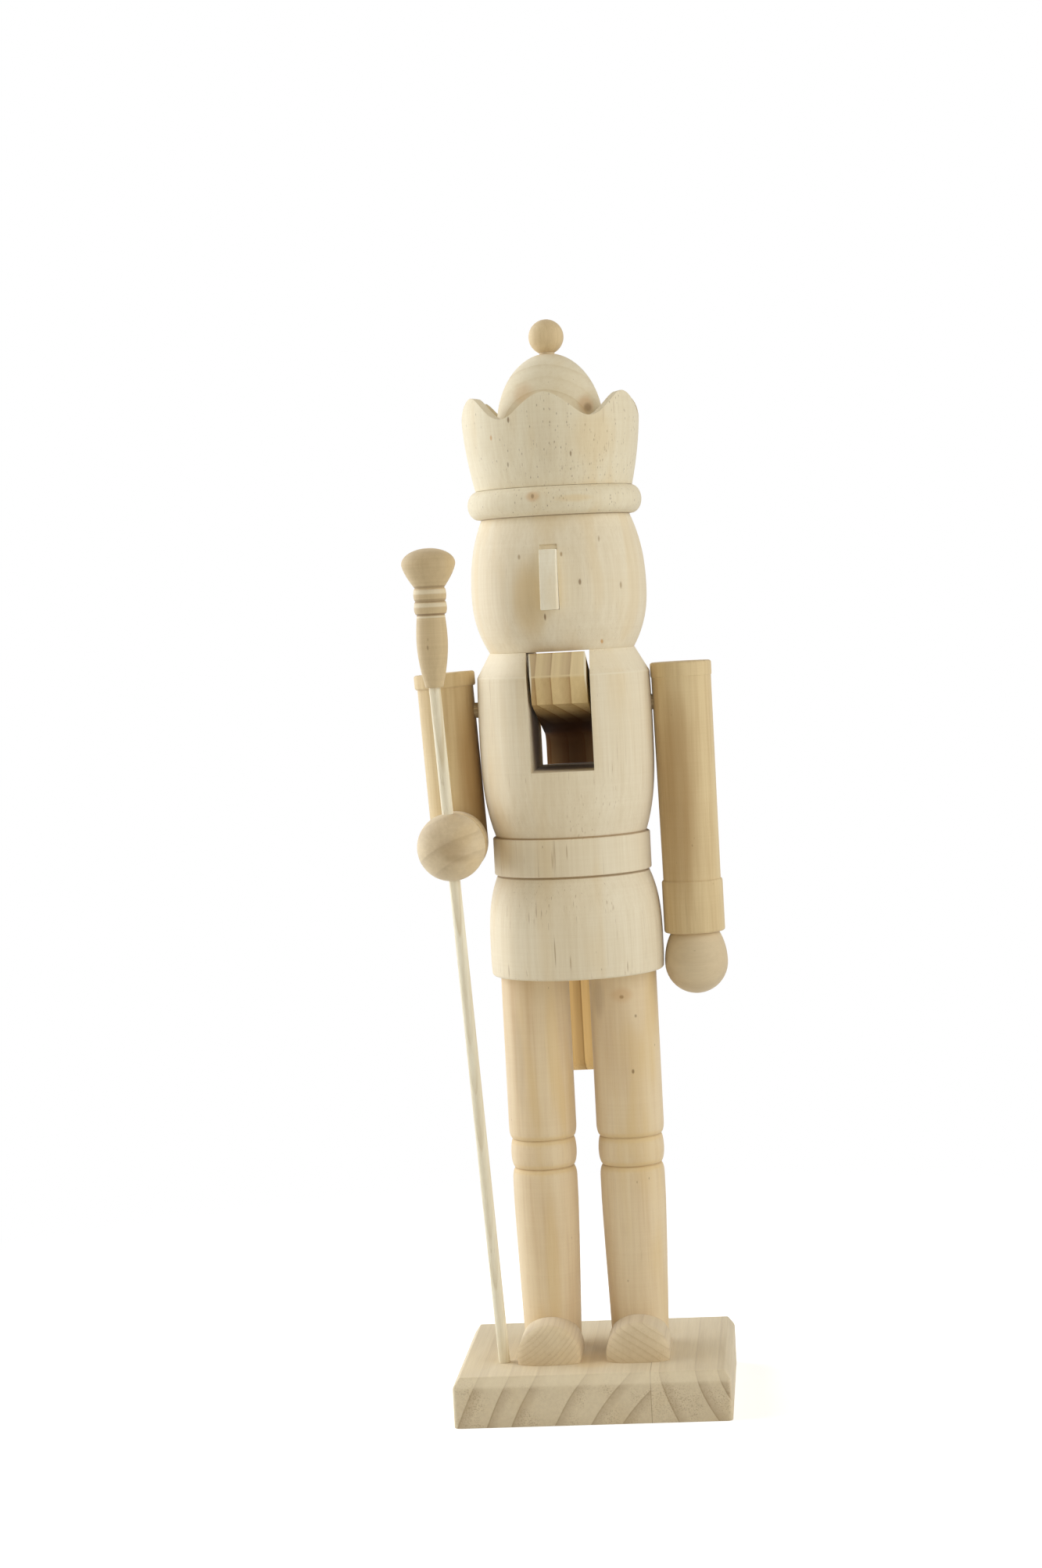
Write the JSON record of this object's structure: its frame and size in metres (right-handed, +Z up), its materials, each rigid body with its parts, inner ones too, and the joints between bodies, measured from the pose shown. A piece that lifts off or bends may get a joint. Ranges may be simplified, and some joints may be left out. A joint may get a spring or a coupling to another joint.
{
  "type": "wooden nutcracker figure",
  "caption": "Unpainted turned-wood nutcracker king on a bevelled board, with a crown, a staff in one hand and a jaw lever that opens the mouth when its tail is lifted.",
  "frame": {"origin": "middle of the base board's underside", "axes": "+Z up along the figure, the figure faces -Y, its left arm is on the +X side"},
  "size_m": [0.0974, 0.0849, 0.3505],
  "materials": {
    "body_wood": "bare sanded, pale cream",
    "hat_wood": "bare sanded, pale cream with dark flecks",
    "leg_wood": "bare sanded, pinkish tan",
    "foot_wood": "bare sanded end grain",
    "arm_wood": "bare sanded, tan",
    "hand_wood": "bare sanded, light tan",
    "jaw_pine": "bare sawn, yellow with darker grain bands",
    "board_pine": "bare sawn, end grain to the front",
    "staff_wood": "bare round rod, pale yellow",
    "dowel_wood": "bare fluted dowel"
  },
  "bodies": {
    "figure": {"base": "board_pine", "foot_left": "foot_wood", "foot_right": "foot_wood", "leg_left": "leg_wood", "leg_right": "leg_wood", "leg_base_dowels": "dowel_wood", "leg_body_dowels": "dowel_wood", "body": "body_wood", "pivot_pin": "dowel_wood", "neck_dowels": "dowel_wood", "head": "body_wood", "nose": "body_wood", "hat_brim": "hat_wood", "crown": "hat_wood", "hat_dome": "hat_wood", "hat_dowel": "dowel_wood", "finial_ball": "hand_wood", "finial_pin": "dowel_wood", "left_arm": "arm_wood", "left_hand": "hand_wood", "left_wrist_dowel": "dowel_wood", "left_shoulder_dowel": "dowel_wood", "right_upper_arm": "arm_wood", "right_forearm": "arm_wood", "elbow_dowel": "dowel_wood", "right_hand": "hand_wood", "right_wrist_dowel": "dowel_wood", "right_shoulder_dowel": "dowel_wood", "staff": "staff_wood", "scepter_head": "hand_wood"},
    "jaw": {"jaw_lever": "jaw_pine"}
  },
  "joints": [
    {"name": "jaw_hinge", "type": "hinge", "parent": "figure", "child": "jaw", "pos_m": [0, 0.014, 0.2249], "axis": [1, 0, 0], "range_deg": [0, 30]}
  ]
}
